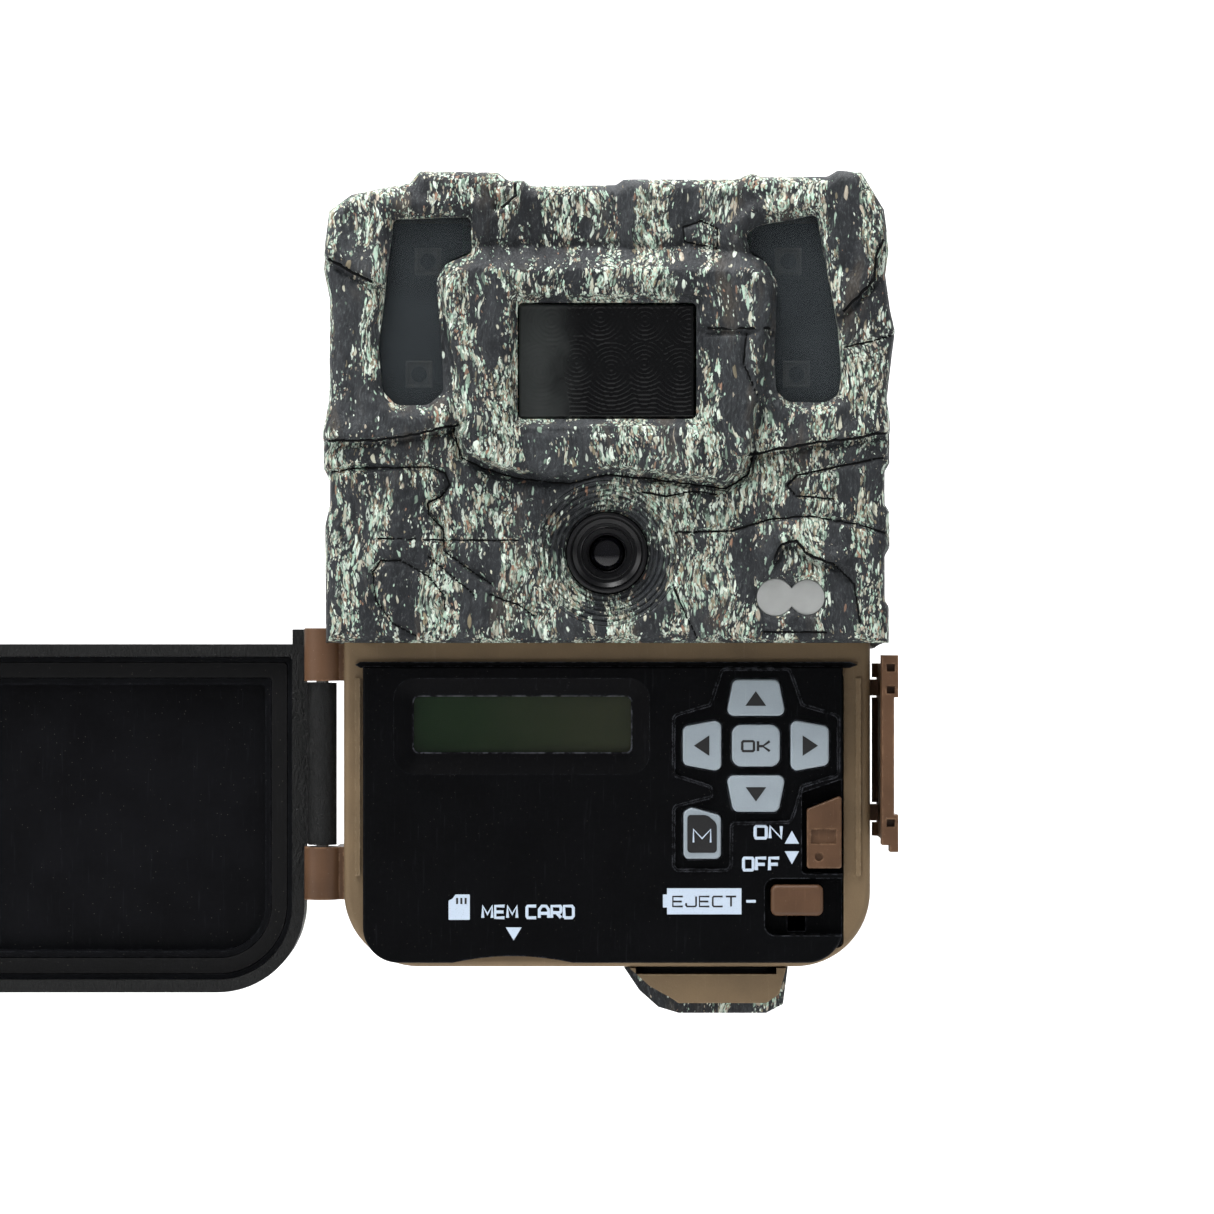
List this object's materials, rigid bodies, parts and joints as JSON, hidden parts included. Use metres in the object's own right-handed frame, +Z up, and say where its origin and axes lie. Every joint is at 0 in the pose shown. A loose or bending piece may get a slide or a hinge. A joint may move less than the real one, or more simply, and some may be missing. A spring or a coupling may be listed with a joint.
{
  "type": "trail camera",
  "caption": "Compact game camera in a bark-pattern case with a hinged side-swinging control door, side latch, drop-out battery tray and tree bracket.",
  "frame": {"origin": "centre of the mouth of the threaded socket in the tree bracket, on the bracket's rear face", "axes": "+X to the right as seen by somebody facing the lens, +Y back towards the tree along the socket's axis, +Z up; the lens looks along -Y"},
  "size_m": [0.1656, 0.0755, 0.1227],
  "materials": {
    "camo_plastic": "textured tree-bark pattern",
    "tan_plastic": "fine moulded grain",
    "brown_plastic": "satin, rubbed edges",
    "panel_black": "fine moulded grain",
    "black_plastic": "satin",
    "liner_black": "satin",
    "rubber": "soft",
    "key_rubber": "soft",
    "key_grey": "satin",
    "clear_window": "clear",
    "lcd_glass": "unlit reflective display",
    "circuit_board": "solder resist",
    "chip": "moulded",
    "flex_film": "polyimide film",
    "sensor_window": "glossy, infrared-clear",
    "smoke_window": "smoked",
    "lamp_epoxy": "clear epoxy",
    "lens_glass": "coated",
    "nickel": "nickel plate",
    "steel": "plain",
    "brass": "machined",
    "tray_plastic": "satin",
    "cell_jacket": "printed jacket",
    "card_plastic": "satin"
  },
  "bodies": {
    "camera": {"front_cover": "camo_plastic", "rear_shell": "camo_plastic", "housing": "tan_plastic", "hinge_knuckles": "brown_plastic", "latch_lugs": "brown_plastic", "control_panel": "panel_black", "lens_bezel": "black_plastic", "lens_barrel": "black_plastic", "lens_holder": "black_plastic", "card_socket": "black_plastic", "battery_bay": "black_plastic", "tree_bracket": "black_plastic", "case_gasket": "rubber", "keypad_mat": "key_rubber", "lcd_window": "clear_window", "status_window": "clear_window", "lcd_display": "lcd_glass", "control_board": "circuit_board", "sensor_board": "circuit_board", "led_boards": "circuit_board", "image_processor": "chip", "image_sensor": "chip", "power_switch": "chip", "ribbon_cable": "flex_film", "pir_window": "sensor_window", "pir_sensor": "nickel", "led_window_left": "smoke_window", "led_window_right": "smoke_window", "ir_leds": "lamp_epoxy", "status_leds": "lamp_epoxy", "lens_glass": "lens_glass", "hinge_pin": "steel", "latch_pin": "steel", "case_screws": "steel", "bracket_screws": "steel", "board_screws": "steel", "socket_insert": "brass"},
    "door": {"door_shell": "camo_plastic", "door_liner": "liner_black", "door_gasket": "rubber"},
    "latch": {"latch_lever": "brown_plastic"},
    "up_key": {"key_up": "key_grey"},
    "down_key": {"key_down": "key_grey"},
    "left_key": {"key_left": "key_grey"},
    "right_key": {"key_right": "key_grey"},
    "ok_key": {"key_ok": "key_grey"},
    "menu_key": {"key_menu": "key_grey"},
    "switch_thumb": {"power_slider": "brown_plastic"},
    "release": {"eject_button": "brown_plastic"},
    "tray": {"battery_tray": "tray_plastic", "tray_cap": "tan_plastic", "tray_cap_cover": "camo_plastic", "tray_gasket": "rubber", "battery_cells": "cell_jacket", "tray_contacts": "nickel"},
    "card": {"memory_card": "card_plastic"}
  },
  "joints": [
    {"name": "door_hinge", "type": "hinge", "parent": "camera", "child": "door", "pos_m": [-0.0417, -0.063, 0], "axis": [0, 0, 1], "range_deg": [0, 180]},
    {"name": "latch_hinge", "type": "hinge", "parent": "camera", "child": "latch", "pos_m": [0.041, -0.051, 0], "axis": [0, 0, 1], "range_deg": [0, 95]},
    {"name": "key_up_press", "type": "slide", "parent": "camera", "child": "up_key", "axis": [0, 1, 0], "range_m": [0, 0.0006], "stiffness_N_per_m": 1200},
    {"name": "key_down_press", "type": "slide", "parent": "camera", "child": "down_key", "axis": [0, 1, 0], "range_m": [0, 0.0006], "stiffness_N_per_m": 1200},
    {"name": "key_left_press", "type": "slide", "parent": "camera", "child": "left_key", "axis": [0, 1, 0], "range_m": [0, 0.0006], "stiffness_N_per_m": 1200},
    {"name": "key_right_press", "type": "slide", "parent": "camera", "child": "right_key", "axis": [0, 1, 0], "range_m": [0, 0.0006], "stiffness_N_per_m": 1200},
    {"name": "key_ok_press", "type": "slide", "parent": "camera", "child": "ok_key", "axis": [0, 1, 0], "range_m": [0, 0.0006], "stiffness_N_per_m": 1200},
    {"name": "key_menu_press", "type": "slide", "parent": "camera", "child": "menu_key", "axis": [0, 1, 0], "range_m": [0, 0.0006], "stiffness_N_per_m": 1200},
    {"name": "power_switch_slide", "type": "slide", "parent": "camera", "child": "switch_thumb", "axis": [0, 0, 1], "range_m": [0, 0.002]},
    {"name": "release_slide", "type": "slide", "parent": "camera", "child": "release", "axis": [0, 0, -1], "range_m": [0, 0.0024], "stiffness_N_per_m": 400},
    {"name": "battery_tray_slide", "type": "slide", "parent": "camera", "child": "tray", "axis": [0, 0, -1], "range_m": [0, 0.11]},
    {"name": "memory_card_slide", "type": "slide", "parent": "camera", "child": "card", "axis": [0, 0, -1], "range_m": [0, 0.032]}
  ]
}
